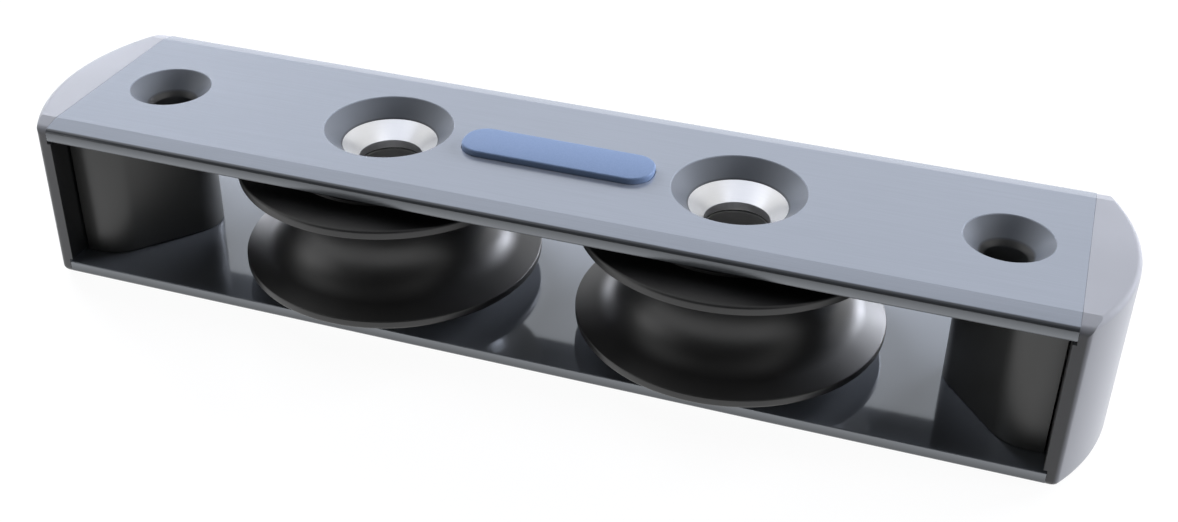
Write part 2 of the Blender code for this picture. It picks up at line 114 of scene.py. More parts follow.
def drill(name, profile, x, segments=128):
    """A cutter turned about a vertical axis at x, from (radius, height) points, top first."""
    work = bmesh.new()
    rings = []
    for radius, height in profile:
        rings.append([work.verts.new((x + radius * cos(2 * pi * i / segments),
                                      radius * sin(2 * pi * i / segments), height))
                      for i in range(segments)])
    for upper, lower in zip(rings, rings[1:]):
        for i in range(segments):
            j = (i + 1) % segments
            work.faces.new((upper[i], lower[i], lower[j], upper[j]))
    work.faces.new(rings[0])
    work.faces.new(list(reversed(rings[-1])))
    return stand(name, work)


PLATE_BEVEL_RUN = 0.0033
PLATE_BEVEL_DROP = 0.00076
PLATE_EDGE_RADIUS = 0.00085
PLATE_INNER_RADIUS = 0.00018
PLATE_SAWN_EDGE = 0.00004
JOINT_GAP = 0.00001
INNER_LEAN = 0.035
FINE_ANGLE = 11.5


def bar_section(half, thickness, inset=0.0, edge_radius=PLATE_EDGE_RADIUS):
    """Half a plate's section as (y, depth below its bevelled face), drawn in by an inset."""
    slope = atan2(PLATE_BEVEL_DROP, PLATE_BEVEL_RUN)
    tangent = edge_radius * (1 - sin(slope)) / cos(slope)
    edge = (half - edge_radius, PLATE_BEVEL_DROP + tangent)
    foot = (half - PLATE_INNER_RADIUS, thickness - PLATE_INNER_RADIUS)
    points = [(half - PLATE_BEVEL_RUN, 0.0)]
    points += bend(edge, edge_radius, slope - pi / 2, 0.0, 12)
    points += bend(foot, PLATE_INNER_RADIUS, 0.0, pi / 2, 10)
    middle = thickness / 2
    return [(y - inset, middle + (depth - middle) * (1 - 2 * inset / thickness))
            for y, depth in points]


def sawn_bar(name, half_length, half_width, flat_z, up, thickness):
    """A length of the plate extrusion with its sawn ends' edges broken."""
    work = bmesh.new()
    rings = []
    for x, inset in ((-half_length, PLATE_SAWN_EDGE), (-half_length + PLATE_SAWN_EDGE, 0.0),
                     (half_length - PLATE_SAWN_EDGE, 0.0), (half_length, PLATE_SAWN_EDGE)):
        side = bar_section(half_width, thickness, inset)
        loop = side + [(-y, depth) for y, depth in reversed(side)]
        rings.append([work.verts.new((x, y, flat_z - up * depth)) for y, depth in loop])
    count = len(rings[0])
    for first, second in zip(rings, rings[1:]):
        for i in range(count):
            j = (i + 1) % count
            work.faces.new((first[i], first[j], second[j], second[i]))
    work.faces.new(rings[0])
    work.faces.new(list(reversed(rings[-1])))
    return stand(name, work)


def finish_of(name):
    """A new material with its nodes, its shader and the object's own coordinates."""
    material = bpy.data.materials.new(name)
    material.use_nodes = True
    nodes, links = material.node_tree.nodes, material.node_tree.links
    place = nodes.new("ShaderNodeTexCoord").outputs["Object"]
    return material, nodes, links, nodes["Principled BSDF"], place


def worked(nodes, links, operation, *values):
    """What a math node makes of sockets or plain numbers."""
    node = nodes.new("ShaderNodeMath")
    node.operation = operation
    for socket, value in zip(node.inputs, values):
        if isinstance(value, float):
            socket.default_value = value
        else:
            links.new(value, socket)
    return node.outputs[0]


def grain(nodes, links, place, stretch, detail=3.0):
    """Noise on stretched object coordinates, as a value from 0 to 1."""
    mapping = nodes.new("ShaderNodeMapping")
    mapping.inputs["Scale"].default_value = stretch
    noise = nodes.new("ShaderNodeTexNoise")
    noise.inputs["Scale"].default_value = 1.0
    noise.inputs["Detail"].default_value = detail
    links.new(place, mapping.inputs["Vector"])
    links.new(mapping.outputs["Vector"], noise.inputs["Vector"])
    return noise.outputs["Fac"]


def spread(nodes, links, value, low, high, low_in=0.3, high_in=0.7):
    """A value moved from one range into another, with its ends clamped."""
    ranged = nodes.new("ShaderNodeMapRange")
    ranged.inputs["From Min"].default_value = low_in
    ranged.inputs["From Max"].default_value = high_in
    ranged.inputs["To Min"].default_value = low
    ranged.inputs["To Max"].default_value = high
    links.new(value, ranged.inputs["Value"])
    return ranged.outputs["Result"]


def blended(nodes, links, factor, first, second):
    """Two colours or colour sockets mixed by a factor."""
    mix = nodes.new("ShaderNodeMix")
    mix.data_type = "RGBA"
    links.new(factor, mix.inputs["Factor"])
    for socket, value in ((mix.inputs[6], first), (mix.inputs[7], second)):
        if isinstance(value, tuple):
            socket.default_value = (*value, 1.0)
        else:
            links.new(value, socket)
    return mix.outputs[2]


def bumped(nodes, links, shader, height, strength, distance):
    """Let a height tilt the shader's normals, and hand back the node that does it."""
    bump = nodes.new("ShaderNodeBump")
    bump.inputs["Strength"].default_value = strength
    bump.inputs["Distance"].default_value = distance
    links.new(height, bump.inputs["Height"])
    links.new(bump.outputs["Normal"], shader.inputs["Normal"])
    return bump


def anodised(name, half_width, face, inner=False):
    """Satin anodised aluminium with a fine grain along the bar, and painted shade in places.

    The long edges and the bevels' corners are painted darker as shade. On the top plate the countersinks
    are rougher and less metallic from machining, with their colour painted darker as shade in the hollow,
    and the underside is painted dark as shade. The base plate's inner face is smoother, painted a little
    darker as shade between the plates, and its shading leans back a little.
    """
    material, nodes, links, shader, place = finish_of(name)
    lines = grain(nodes, links, place, (90.0, 5200.0, 5200.0))
    cloud = grain(nodes, links, place, (38.0, 60.0, 60.0), 2.0)
    tone = blended(nodes, links, spread(nodes, links, lines, 0.0, 1.0),
                   (0.385, 0.422, 0.482), (0.415, 0.452, 0.517))
    tone = blended(nodes, links, spread(nodes, links, cloud, 0.0, 0.35), tone, (0.38, 0.417, 0.477))
    axes = nodes.new("ShaderNodeSeparateXYZ")
    links.new(place, axes.inputs["Vector"])
    reach = worked(nodes, links, "ABSOLUTE", axes.outputs["Y"])
    below = worked(nodes, links, "ABSOLUTE", worked(nodes, links, "SUBTRACT", axes.outputs["Z"], face))
    # Painted shade: the long edges are coloured darker.
    edge = spread(nodes, links, reach, 0.0, 1.0, half_width - 0.0003, half_width - 0.00005)
    tone = blended(nodes, links, edge, tone, (0.325, 0.345, 0.372))
    # Painted shade: a dark line along the bevels' rounded corners.
    outward = spread(nodes, links, reach, 0.0, 1.0, half_width - PLATE_EDGE_RADIUS * 0.75,
                     half_width - PLATE_EDGE_RADIUS * 0.5)
    shallow = spread(nodes, links, below, 1.0, 0.0, PLATE_BEVEL_DROP + PLATE_EDGE_RADIUS * 0.5,
                     PLATE_BEVEL_DROP + PLATE_EDGE_RADIUS * 2.0)
    corner = worked(nodes, links, "MULTIPLY", outward, shallow)
    tone = blended(nodes, links, corner, tone, (0.170, 0.180, 0.194))
    if inner:
        # Painted shade: the inner face, between the plates, is a little darker.
        deep = spread(nodes, links, axes.outputs["Z"], 0.0, 1.0, FLOOR_Z - 0.0002, FLOOR_Z - 0.0001)
        links.new(blended(nodes, links, deep, tone, (0.335, 0.362, 0.400)), shader.inputs["Base Color"])
        shader.inputs["Metallic"].default_value = 0.5
        links.new(spread(nodes, links, lines, 0.06, 0.09), shader.inputs["Roughness"])
        bumped(nodes, links, shader, axes.outputs["Y"], 1.0, INNER_LEAN).invert = True
        return material
    # The countersinks are rougher and less metallic from machining, and their colour is painted darker as
    # shade in the hollow.
    sunk = spread(nodes, links, below, 0.0, 1.0, 0.00005, 0.00015)
    within = spread(nodes, links, reach, 1.0, 0.0, half_width - 0.0040, half_width - 0.0035)
    countersink_finish_and_shade = worked(nodes, links, "MULTIPLY", sunk, within)
    tone = blended(nodes, links, countersink_finish_and_shade, tone, (0.170, 0.184, 0.205))
    # Painted shade: the top plate's underside is coloured nearly black.
    under = spread(nodes, links, below, 0.0, 1.0, PLATE_THICKNESS - 0.0003, PLATE_THICKNESS - 0.0001)
    links.new(blended(nodes, links, under, tone, (0.10, 0.105, 0.115)), shader.inputs["Base Color"])
    links.new(spread(nodes, links, countersink_finish_and_shade, 0.5, 0.30, 0.0, 1.0), shader.inputs["Metallic"])
    satin = spread(nodes, links, lines, 0.17, 0.23)
    links.new(worked(nodes, links, "MULTIPLY_ADD", countersink_finish_and_shade, 0.22, satin), shader.inputs["Roughness"])
    bumped(nodes, links, shader, lines, 0.12, 0.00001)
    return material


base_low, base_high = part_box("base_plate")
PLATE_HALF_WIDTH = base_high.y
PLATE_THICKNESS = base_high.z - base_low.z
CAP_SHOULDER = base_high.x + 0.0003
hub_low, hub_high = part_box("hub_right")
SHEAVE_X = (hub_low.x + hub_high.x) / 2
FLOOR_Z = base_high.z
SMALL_BOLT_X = 0.0689
SPIGOT_HOLE = 0.0071
SMALL_BORE = 0.0032
SHARP_BREAK = 0.00015
HAIR = 0.00001
OVERRUN = 0.002


def straight_hole(radius, top, bottom):
    """Profile of a plain bore whose two mouths have their edges broken."""
    mouth = radius + SHARP_BREAK
    return [(mouth, top + OVERRUN), (mouth, top + HAIR), (radius, top - SHARP_BREAK),
            (radius, bottom + SHARP_BREAK), (mouth, bottom - HAIR), (mouth, bottom - OVERRUN)]


base_plate = sawn_bar("base_plate_bar", CAP_SHOULDER - JOINT_GAP, PLATE_HALF_WIDTH, base_low.z, -1,
                      PLATE_THICKNESS)
base_holes = ((-SHEAVE_X, SPIGOT_HOLE), (SHEAVE_X, SPIGOT_HOLE),
              (-SMALL_BOLT_X, SMALL_BORE), (SMALL_BOLT_X, SMALL_BORE))
bored(base_plate, [drill(f"base_hole_{i}", straight_hole(radius, base_high.z, base_low.z), x)
                   for i, (x, radius) in enumerate(base_holes)], angle=FINE_ANGLE)
base_plate.data.materials.clear()
base_plate.data.materials.append(anodised("anodised_base", PLATE_HALF_WIDTH, base_low.z, inner=True))
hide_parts("base_plate")
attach(base_plate, "frame")


# Hubs. Two hard anodised aluminium hubs, turned, with a flange that carries the lower washer
# and a spigot in the base plate. One node tree turns every round piece of the organizer.
def turning_tree():
    """Node tree that rounds a profile's corners, turns it about Z and repeats it along X."""
    tree = bpy.data.node_groups.new("turned_piece", "GeometryNodeTree")
    tree.is_modifier = True
    face = tree.interface
    face.new_socket("Profile", in_out="INPUT", socket_type="NodeSocketGeometry")
    for name, kind in (("Segments", "NodeSocketInt"), ("Corner Steps", "NodeSocketInt"),
                       ("Core Radius", "NodeSocketFloat"), ("First Axis", "NodeSocketVector"),
                       ("Axis Spacing", "NodeSocketVector"), ("Axis Count", "NodeSocketInt"),
                       ("Finish", "NodeSocketMaterial")):
        face.new_socket(name, in_out="INPUT", socket_type=kind)
    face.new_socket("Turned", in_out="OUTPUT", socket_type="NodeSocketGeometry")
    nodes, links = tree.nodes, tree.links
    given = nodes.new("NodeGroupInput").outputs
    drawn = nodes.new("GeometryNodeMeshToCurve")
    links.new(given["Profile"], drawn.inputs["Mesh"])
    corner = nodes.new("GeometryNodeInputNamedAttribute")
    corner.data_type = "FLOAT"
    corner.inputs["Name"].default_value = "corner_radius"
    rounded = nodes.new("GeometryNodeFilletCurve")
    rounded.mode = "POLY"
    links.new(drawn.outputs["Curve"], rounded.inputs["Curve"])
    links.new(given["Corner Steps"], rounded.inputs["Count"])
    links.new(corner.outputs["Attribute"], rounded.inputs["Radius"])
    shift = nodes.new("ShaderNodeCombineXYZ")
    links.new(worked(nodes, links, "MULTIPLY", given["Core Radius"], -1.0), shift.inputs["X"])
    laid = nodes.new("GeometryNodeTransform")
    laid.inputs["Rotation"].default_value = (pi / 2, 0.0, 0.0)
    links.new(rounded.outputs["Curve"], laid.inputs["Geometry"])
    links.new(shift.outputs["Vector"], laid.inputs["Translation"])
    core = nodes.new("GeometryNodeCurvePrimitiveCircle")
    links.new(given["Segments"], core.inputs["Resolution"])
    links.new(given["Core Radius"], core.inputs["Radius"])
    swept = nodes.new("GeometryNodeCurveToMesh")
    links.new(core.outputs["Curve"], swept.inputs["Curve"])
    links.new(laid.outputs["Geometry"], swept.inputs["Profile Curve"])
    axes = nodes.new("GeometryNodeMeshLine")
    links.new(given["Axis Count"], axes.inputs["Count"])
    links.new(given["First Axis"], axes.inputs["Start Location"])
    links.new(given["Axis Spacing"], axes.inputs["Offset"])
    copies = nodes.new("GeometryNodeInstanceOnPoints")
    links.new(axes.outputs["Mesh"], copies.inputs["Points"])
    links.new(swept.outputs["Mesh"], copies.inputs["Instance"])
    solid = nodes.new("GeometryNodeRealizeInstances")
    links.new(copies.outputs["Instances"], solid.inputs["Geometry"])
    painted = nodes.new("GeometryNodeSetMaterial")
    links.new(solid.outputs["Geometry"], painted.inputs["Geometry"])
    links.new(given["Finish"], painted.inputs["Material"])
    links.new(painted.outputs["Geometry"], nodes.new("NodeGroupOutput").inputs["Turned"])
    return tree


TURNING = turning_tree()
PAIR = ((-SHEAVE_X, 0.0, 0.0), (2 * SHEAVE_X, 0.0, 0.0), 2)


def turned(name, profile, material, axes=PAIR, segments=160, corner_steps=4):
    """Pieces turned from a profile of (radius, height, corner radius), one on each axis."""
    work = bmesh.new()
    layer = work.verts.layers.float.new("corner_radius")
    verts = []
    for radius, height, corner in profile:
        vert = work.verts.new((radius, 0.0, height))
        vert[layer] = corner
        verts.append(vert)
    for i, vert in enumerate(verts):
        work.edges.new((vert, verts[(i + 1) % len(verts)]))
    mesh = bpy.data.meshes.new(name)
    work.to_mesh(mesh)
    work.free()
    piece = bpy.data.objects.new(name, mesh)
    bpy.context.scene.collection.objects.link(piece)
    turning = piece.modifiers.new("turned", "NODES")
    turning.node_group = TURNING
    values = {"Segments": segments, "Corner Steps": corner_steps, "Core Radius": 0.001,
              "First Axis": axes[0], "Axis Spacing": axes[1], "Axis Count": axes[2],
              "Finish": material}
    for item in TURNING.interface.items_tree:
        if item.item_type == "SOCKET" and item.name in values:
            turning[item.identifier] = values[item.name]
    return made_plain(piece)


hard_black, nodes, links, shader, place = finish_of("hard_anodised")
marks = grain(nodes, links, place, (400.0, 400.0, 9000.0))
links.new(blended(nodes, links, spread(nodes, links, marks, 0.0, 1.0), (0.30, 0.295, 0.285),
                  (0.35, 0.345, 0.335)), shader.inputs["Base Color"])
links.new(spread(nodes, links, marks, 0.36, 0.48), shader.inputs["Roughness"])
shader.inputs["Metallic"].default_value = 0.4
bumped(nodes, links, shader, marks, 0.25, 0.00001)

LARGE_BORE = 0.0051
LARGE_COUNTERSINK = 0.01044
top_low, top_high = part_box("top_plate")
seat_low, seat_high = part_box("bolt_seat_right")
washer_low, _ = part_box("lower_thrust_washer_right")
HUB_RADIUS = 0.0105
HUB_GAP = 0.0003
SPIGOT_RADIUS = 0.0068
hub_recess = (seat_high.x - seat_low.x) / 2 + HUB_GAP
hub_recess_z = seat_low.z - HUB_GAP
flange_radius = (hub_high.x - hub_low.x) / 2
flange_top = washer_low.z - HUB_GAP
flange_low = base_high.z + HUB_GAP
hubs = turned("hubs_turned", [
    (HUB_RADIUS, hub_high.z, 0.0002), (HUB_RADIUS, flange_top, 0.0003),
    (flange_radius, flange_top, 0.0002), (flange_radius, flange_low, 0.0002),
    (SPIGOT_RADIUS, flange_low, 0.0), (SPIGOT_RADIUS, hub_low.z, 0.0004),
    (LARGE_BORE, hub_low.z, 0.0004), (LARGE_BORE, hub_recess_z, 0.0001),
    (hub_recess, hub_recess_z, 0.0), (hub_recess, hub_high.z, 0.0002),
], hard_black)
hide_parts("hub_left", "hub_right")
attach(hubs, "frame")


# Thrust washers. Four flat rings of pale bearing plastic, two under and two over the sheaves,
# stamped from sheet, so their edges are only just broken.
bearing, nodes, links, shader, place = finish_of("bearing_plastic")
mottle = grain(nodes, links, place, (900.0, 900.0, 900.0))
links.new(blended(nodes, links, spread(nodes, links, mottle, 0.0, 1.0), (0.60, 0.57, 0.49),
                  (0.68, 0.65, 0.57)), shader.inputs["Base Color"])
links.new(spread(nodes, links, mottle, 0.40, 0.52), shader.inputs["Roughness"])
bumped(nodes, links, shader, mottle, 0.2, 0.00001)

BEARING_BORE = 0.0108
for level in ("lower", "upper"):
    low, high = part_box(f"{level}_thrust_washer_right")
    outer = (high.x - low.x) / 2
    washers = turned(f"{level}_washers", [
        (outer, high.z, 0.00012), (outer, low.z, 0.00012), (BEARING_BORE, low.z, 0.00012),
        (BEARING_BORE, high.z, 0.00012)], bearing)
    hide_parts(f"{level}_thrust_washer_left", f"{level}_thrust_washer_right")
    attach(washers, "frame")


# Sheaves. Two black acetal wheels with a deep round groove for the line, thin rims with
# rounded edges and a raised bearing face on top. Each turns with the bushing pressed into it.
acetal, nodes, links, shader, place = finish_of("black_acetal")
haze = grain(nodes, links, place, (120.0, 120.0, 120.0), 2.0)
speck = grain(nodes, links, place, (4200.0, 4200.0, 4200.0), 2.0)
links.new(blended(nodes, links, spread(nodes, links, haze, 0.0, 1.0), (0.005, 0.005, 0.0053),
                  (0.009, 0.009, 0.0094)), shader.inputs["Base Color"])
links.new(spread(nodes, links, haze, 0.40, 0.46), shader.inputs["Roughness"])
shader.inputs["Specular IOR Level"].default_value = 0.8
bumped(nodes, links, shader, speck, 0.10, 0.00001)

RIM_THICKNESS = 0.0014
RIM_ROUND = 0.00045
MOUTH_ROUND = 0.00025
FLANK_LEAN = radians(20.0)
WAIST_RADIUS = 0.0168
SHEAVE_HEIGHT = 0.0178
BOSS_RADIUS = 0.0170
SHEAVE_BORE = 0.0125
wheels = []
for side, sign in (("left", -1), ("right", 1)):
    low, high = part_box(f"sheave_{side}")
    rim = (high.x - low.x) / 2
    top = low.z + SHEAVE_HEIGHT
    middle = low.z + SHEAVE_HEIGHT / 2
    half_mouth = SHEAVE_HEIGHT / 2 - RIM_THICKNESS
    lip = rim - RIM_ROUND * 0.35
    depth = lip - WAIST_RADIUS
    groove = (half_mouth * cos(FLANK_LEAN) - depth * sin(FLANK_LEAN)) / (1 - sin(FLANK_LEAN))
    turn = pi / 2 - FLANK_LEAN
    hollow = bend((WAIST_RADIUS + groove, middle), groove, pi - turn, pi + turn, 40)
    profile = [(SHEAVE_BORE, high.z, 0.0002), (BOSS_RADIUS, high.z, 0.0002), (BOSS_RADIUS, top, 0.0002),
               (rim, top, RIM_ROUND), (rim, top - RIM_THICKNESS, MOUTH_ROUND)]
    profile += [(radius, height, 0.0) for radius, height in hollow]
    profile += [(rim, low.z + RIM_THICKNESS, MOUTH_ROUND), (rim, low.z, RIM_ROUND),
                (SHEAVE_BORE, low.z, 0.0002)]
    sheave = turned(f"sheave_{side}_wheel", profile, acetal,
                    ((sign * SHEAVE_X, 0.0, 0.0), (0.0, 0.0, 0.0), 1), segments=256, corner_steps=6)
    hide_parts(f"sheave_{side}")
    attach(sheave, f"sheave_{side}")
    wheels.append(sheave)
    bushing_low, bushing_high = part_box(f"sheave_bushing_{side}")
    outer = (bushing_high.x - bushing_low.x) / 2
    bushing = turned(f"sheave_{side}_bushing", [
        (outer, bushing_high.z, 0.00015), (outer, bushing_low.z, 0.00015),
        (BEARING_BORE, bushing_low.z, 0.00025), (BEARING_BORE, bushing_high.z, 0.00025)], bearing,
        ((sign * SHEAVE_X, 0.0, 0.0), (0.0, 0.0, 0.0), 1))
    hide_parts(f"sheave_bushing_{side}")
    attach(bushing, f"sheave_{side}")


# Bolt seats. Two rings of bright stainless steel, turned and let into the hubs, whose cone
# carries the countersink of the top plate on and takes the bolt's head.
bright, nodes, links, shader, place = finish_of("bright_stainless")
rings = grain(nodes, links, place, (300.0, 300.0, 14000.0))
dapple = grain(nodes, links, place, (2600.0, 2600.0, 2600.0))
links.new(blended(nodes, links, spread(nodes, links, rings, 0.0, 1.0), (0.955, 0.96, 0.97),
                  (0.985, 0.99, 0.995)), shader.inputs["Base Color"])
links.new(spread(nodes, links, dapple, 0.33, 0.37), shader.inputs["Roughness"])
shader.inputs["Metallic"].default_value = 0.85

TOP_Z = top_high.z
CEILING_Z = top_low.z
seat_top = CEILING_Z - JOINT_GAP
throat = TOP_Z - (LARGE_COUNTERSINK - LARGE_BORE)
seat_outer = (seat_high.x - seat_low.x) / 2
seats = turned("bolt_seats_turned", [
    (seat_outer, seat_top, 0.0001), (seat_outer, seat_low.z, 0.0002), (LARGE_BORE, seat_low.z, 0.0001),
    (LARGE_BORE, throat, 0.0001), (LARGE_COUNTERSINK - (TOP_Z - seat_top), seat_top, 0.0)], bright)
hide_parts("bolt_seat_left", "bolt_seat_right")
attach(seats, "frame")


# Fairlead blocks. Black moulded plastic, one at each end between the plates, with a round nose
# that leads the line in, spreading flanks, a bolt bore and a dovetail that hooks into the cap.
block_black, nodes, links, shader, place = finish_of("black_moulding")
haze = grain(nodes, links, place, (90.0, 90.0, 60.0), 2.0)
pebble = grain(nodes, links, place, (2400.0, 2400.0, 2400.0), 2.0)
links.new(blended(nodes, links, spread(nodes, links, haze, 0.0, 1.0), (0.040, 0.0405, 0.039),
                  (0.050, 0.051, 0.049)), shader.inputs["Base Color"])
links.new(spread(nodes, links, haze, 0.36, 0.43), shader.inputs["Roughness"])
shader.inputs["Specular IOR Level"].default_value = 0.9
bumped(nodes, links, shader, pebble, 0.18, 0.00002)

BLOCK_HALF_WIDTH = 0.0151
BLOCK_NOSE_X = 0.06285
BLOCK_END_X = 0.07925
BLOCK_NOSE_RADIUS = 0.0053
BLOCK_SHOULDER_RADIUS = 0.0080
BLOCK_FLANK = radians(51.0)
BLOCK_EDGE_ROUND = 0.0003
SMALL_COUNTERSINK = 0.00672
TAIL_NECK = 0.0030
TAIL_HEAD = 0.0045
TAIL_TIP = 0.08235
TAIL_INSET = 0.0008


def block_plan(inset):
    """Plan of the right block, drawn in by an inset, from the nose round to the shoulder."""
    half = BLOCK_HALF_WIDTH - inset
    nose_radius = BLOCK_NOSE_RADIUS - inset
    nose = (BLOCK_NOSE_X + BLOCK_NOSE_RADIUS, 0.0)
    leave = (nose[0] - nose_radius * sin(BLOCK_FLANK), nose_radius * cos(BLOCK_FLANK))
    corner_x = leave[0] + (half - leave[1]) / tan(BLOCK_FLANK)
    radius = BLOCK_SHOULDER_RADIUS - inset
    shoulder = (corner_x + radius * tan(BLOCK_FLANK / 2), half - radius)
    side = bend(nose, nose_radius, pi, pi / 2 + BLOCK_FLANK, 24)
    side += bend(shoulder, radius, pi / 2 + BLOCK_FLANK, pi / 2, 24)
    side += [(BLOCK_END_X, half)]
    return side + [(x, -y) for x, y in reversed(side[1:])]


def stacked(name, levels):
    """A solid lofted through plans of equal count, each given with its height, lowest first."""
    work = bmesh.new()
    loops = [[work.verts.new((x, y, height)) for x, y in plan] for height, plan in levels]
    count = len(loops[0])
    for lower, upper in zip(loops, loops[1:]):
        for i in range(count):
            j = (i + 1) % count
            work.faces.new((lower[i], lower[j], upper[j], upper[i]))
    work.faces.new(list(reversed(loops[0])))
    work.faces.new(loops[-1])
    return stand(name, work)


def edge_levels(low, high, low_round, high_round, steps=5):
    """Heights and insets that round a stacked solid's lower and upper edges."""
    turns = [(1 - cos(pi / 2 * i / steps), 1 - sin(pi / 2 * i / steps)) for i in range(steps + 1)]
    return ([(low + low_round * rise, low_round * inset) for rise, inset in turns]
            + [(high - high_round * rise, high_round * inset) for rise, inset in reversed(turns)])


block_low = FLOOR_Z + JOINT_GAP
block_high = CEILING_Z - JOINT_GAP
small_seat = TOP_Z - (SMALL_COUNTERSINK - SMALL_BORE)


def half_turn(piece):
    """A copy of a right-hand piece, turned half way round the vertical axis."""
    mesh = piece.data.copy()
    for vert in mesh.vertices:
        vert.co = (-vert.co.x, -vert.co.y, vert.co.z)
    mesh.update()
    twin = bpy.data.objects.new(piece.name.replace("right", "left"), mesh)
    bpy.context.scene.collection.objects.link(twin)
    return twin


block = stacked("fairlead_right", [(height, block_plan(inset)) for height, inset in
                                   edge_levels(block_low, block_high, BLOCK_EDGE_ROUND, BLOCK_EDGE_ROUND)])
tail_plan = [(BLOCK_END_X - OVERRUN, -TAIL_NECK), (BLOCK_END_X, -TAIL_NECK), (TAIL_TIP, -TAIL_HEAD),
             (TAIL_TIP, TAIL_HEAD), (BLOCK_END_X, TAIL_NECK), (BLOCK_END_X - OVERRUN, TAIL_NECK)]
bored(block, [stacked("block_tail", [(block_low + TAIL_INSET, tail_plan),
                                     (block_high - TAIL_INSET, tail_plan)])], "UNION")
bored(block, [drill("block_bore", [
    (SMALL_COUNTERSINK + OVERRUN, TOP_Z + OVERRUN), (SMALL_BORE + 0.0001, small_seat + 0.0001),
    (SMALL_BORE, small_seat - 0.0001), (SMALL_BORE, FLOOR_Z - OVERRUN)], SMALL_BOLT_X)])
block.data.materials.clear()
block.data.materials.append(block_black)
blocks = [block, half_turn(block)]
for piece in blocks:
    side = "right" if piece is block else "left"
    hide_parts(f"fairlead_block_{side}")
    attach(piece, "frame")


# End caps. Grey moulded plastic, bowed outwards, with softly rounded outer edges. Ledges hold
# the plates' ends, and the back takes the block's dovetail between two cored-out pockets.
CAP_INNER_X = 0.07955
grey, nodes, links, shader, place = finish_of("moulded_grey")
haze = grain(nodes, links, place, (60.0, 60.0, 60.0), 2.0)
pebble = grain(nodes, links, place, (3000.0, 3000.0, 3000.0), 2.0)
tone = blended(nodes, links, spread(nodes, links, haze, 0.0, 1.0), (0.375, 0.380, 0.398),
               (0.410, 0.415, 0.435))
axes = nodes.new("ShaderNodeSeparateXYZ")
links.new(place, axes.inputs["Vector"])
outward = worked(nodes, links, "ABSOLUTE", axes.outputs["X"])
# Painted shade: the cap is coloured nearly black inboard of its inner wall, between the plates.
inner_wall_shade = spread(nodes, links, outward, 1.0, 0.0, CAP_INNER_X + 0.00002, CAP_INNER_X + 0.0001)
links.new(blended(nodes, links, inner_wall_shade, tone, (0.035, 0.036, 0.038)), shader.inputs["Base Color"])
links.new(spread(nodes, links, haze, 0.30, 0.37), shader.inputs["Roughness"])
bumped(nodes, links, shader, pebble, 0.14, 0.00002)

CAP_REACH = 0.0079
CAP_ARC_RADIUS = 0.035011
CAP_OUTER_X = CAP_INNER_X + CAP_REACH
CAP_CENTER_X = CAP_OUTER_X - CAP_ARC_RADIUS
CAP_EDGE_RADIUS = 0.0010
CAP_FRONT_RADIUS = 0.0015
CAP_LEDGE_GAP = 0.0005
CAP_FOOT_RADIUS = 0.0013
CAP_CORNER_RADIUS = 0.0010
CAP_FOOT_Z = 0.0004
CAP_WALL = 0.0022
TAIL_FIT = 0.0003
POCKET_NEAR_Y = 0.0078
POCKET_FAR_Y = 0.0139
POCKET_FLOOR = 0.0025


def cap_plan(inset):
    """Plan of the right cap: a bowed outer wall between two soft corners."""
    half = PLATE_HALF_WIDTH - inset
    radius = CAP_ARC_RADIUS - inset
    soft = CAP_CORNER_RADIUS
    corner = (CAP_CENTER_X + sqrt((radius - soft) ** 2 - (half - soft) ** 2), half - soft)
    swing = atan2(corner[1], corner[0] - CAP_CENTER_X)
    wall = bend((CAP_CENTER_X, 0.0), radius, -swing, swing, 72)
    corner_bend = bend(corner, soft, swing, pi / 2, 10)[1:]
    return ([(CAP_INNER_X, -half)] + [(x, -y) for x, y in reversed(corner_bend)] + wall + corner_bend
            + [(CAP_INNER_X, half)])


cap = stacked("end_cap_right_moulding", [(height, cap_plan(inset)) for height, inset in
              edge_levels(CAP_FOOT_Z, TOP_Z, CAP_FOOT_RADIUS, CAP_EDGE_RADIUS, 12)])
work = bmesh.new()
section = bar_section(PLATE_HALF_WIDTH, TOP_Z + 0.004, edge_radius=CAP_FRONT_RADIUS)
loop = section + [(-y, depth) for y, depth in reversed(section)]
ends = [[work.verts.new((x, y, TOP_Z - depth)) for y, depth in loop]
        for x in (CAP_INNER_X - OVERRUN, CAP_OUTER_X + OVERRUN)]
for i in range(len(loop)):
    j = (i + 1) % len(loop)
    work.faces.new((ends[0][i], ends[0][j], ends[1][j], ends[1][i]))
work.faces.new(ends[0])
work.faces.new(list(reversed(ends[1])))
bored(cap, [stand("cap_section", work)], "INTERSECT", angle=FINE_ANGLE)


def box_between(name, low, high):
    """A square block between two opposite corners."""
    plan = [(low[0], low[1]), (high[0], low[1]), (high[0], high[1]), (low[0], high[1])]
    return stacked(name, [(low[2], plan), (high[2], plan)])


